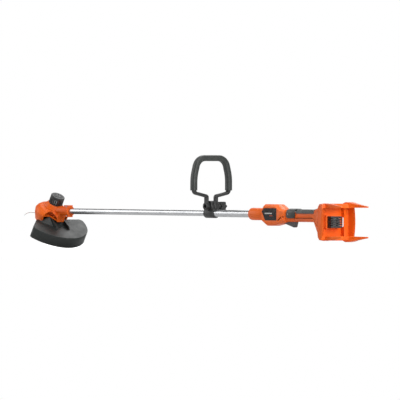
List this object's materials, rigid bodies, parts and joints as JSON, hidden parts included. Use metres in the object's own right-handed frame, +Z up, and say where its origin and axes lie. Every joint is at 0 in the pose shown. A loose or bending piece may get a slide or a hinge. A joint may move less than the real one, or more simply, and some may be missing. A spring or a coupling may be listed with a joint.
{
  "type": "string trimmer",
  "caption": "Battery string trimmer with a telescopic aluminium shaft, motor head with line guard, loop front handle, trigger grip and open battery bay.",
  "frame": {"origin": "middle of the rear grip, on the shaft axis, where the operator's rear hand holds the tool", "axes": "+X along the shaft towards the operator, +Z up, -Y is the operator's left; the cutting head is at -X"},
  "size_m": [1.798, 0.2473, 0.3337],
  "materials": {
    "orange_plastic": "fine moulded texture, satin",
    "black_plastic": "fine moulded texture",
    "grey_plastic": "smooth satin",
    "guard_plastic": "sparked texture",
    "soft_grip": "soft-touch",
    "tube_aluminium": "clear anodised, drawn",
    "steel": "zinc plated",
    "black_steel": "black oxide",
    "panel": "gloss",
    "copper": "enamelled wire",
    "board": "solder mask",
    "line": "smooth monofilament"
  },
  "bodies": {
    "rear_body": {"rear_housing_left": "orange_plastic", "rear_housing_right": "orange_plastic", "grip_lower_cover": "orange_plastic", "label_panel_left": "panel", "label_panel_right": "panel", "front_collar": "orange_plastic", "housing_screws": "steel", "rubber_grip": "soft_grip", "trigger_pin": "steel", "trigger_spring": "steel", "micro_switch": "black_plastic", "lockout_pin": "steel", "lockout_spring": "steel", "control_board": "board", "board_components": "black_plastic", "battery_housing": "orange_plastic", "terminal_block": "black_plastic", "terminal_blades": "steel", "upper_tube": "tube_aluminium", "tube_bush": "black_plastic", "tube_clamp": "black_plastic"},
    "shaft": {"lower_tube": "tube_aluminium", "tube_guide_ring": "black_plastic", "motor_housing_left": "orange_plastic", "motor_housing_right": "orange_plastic", "head_screws": "steel", "motor_can": "steel", "motor_stator": "steel", "stator_windings": "copper", "motor_end_plate_lower": "steel", "motor_end_plate_upper": "steel", "motor_bearing_lower": "steel", "motor_bearing_upper": "steel", "motor_cap": "black_plastic", "guard": "guard_plastic", "guard_screws": "steel", "line_cutter_blade": "steel", "blade_screws": "steel"},
    "spool_head": {"motor_rotor": "steel", "motor_shaft": "steel", "spool_housing": "black_plastic", "line_eyelet": "steel", "spool": "black_plastic", "wound_line": "line", "spool_cover": "black_plastic", "cutting_line": "line"},
    "bump_button": {"bump_button": "orange_plastic"},
    "loop_handle": {"loop_handle_frame": "black_plastic", "loop_handle_grip": "soft_grip", "clamp_bolt": "black_steel"},
    "clamp_knob": {"clamp_knob": "black_plastic"},
    "trigger": {"trigger": "grey_plastic"},
    "lockout_lever": {"lockout_lever": "soft_grip"}
  },
  "joints": [
    {"name": "telescope", "type": "slide", "parent": "rear_body", "child": "shaft", "axis": [1, 0, 0], "range_m": [0, 0.16]},
    {"name": "spool_spin", "type": "hinge", "parent": "shaft", "child": "spool_head", "pos_m": [-1.442, 0, 0], "axis": [0.5, 0, 0.866], "continuous": true},
    {"name": "bump_feed", "type": "slide", "parent": "spool_head", "child": "bump_button", "axis": [0.5, 0, 0.866], "range_m": [0, 0.005], "stiffness_N_per_m": 800, "springref_m": -0.004},
    {"name": "loop_handle_tilt", "type": "hinge", "parent": "rear_body", "child": "loop_handle", "pos_m": [-0.533, 0, 0.025], "axis": [0, 1, 0], "range_deg": [-40, 40]},
    {"name": "clamp_knob_turn", "type": "hinge", "parent": "loop_handle", "child": "clamp_knob", "pos_m": [-0.533, 0.047, 0.025], "axis": [0, 1, 0], "range_deg": [0, 360]},
    {"name": "trigger_pull", "type": "hinge", "parent": "rear_body", "child": "trigger", "pos_m": [-0.111, 0, -0.022], "axis": [0, -1, 0], "range_deg": [0, 9], "stiffness_Nm_per_rad": 0.5, "springref_deg": -14.32},
    {"name": "lockout_press", "type": "hinge", "parent": "rear_body", "child": "lockout_lever", "pos_m": [-0.073, 0, 0.002], "axis": [0, 1, 0], "range_deg": [0, 4], "stiffness_Nm_per_rad": 0.4, "springref_deg": -17.19}
  ]
}
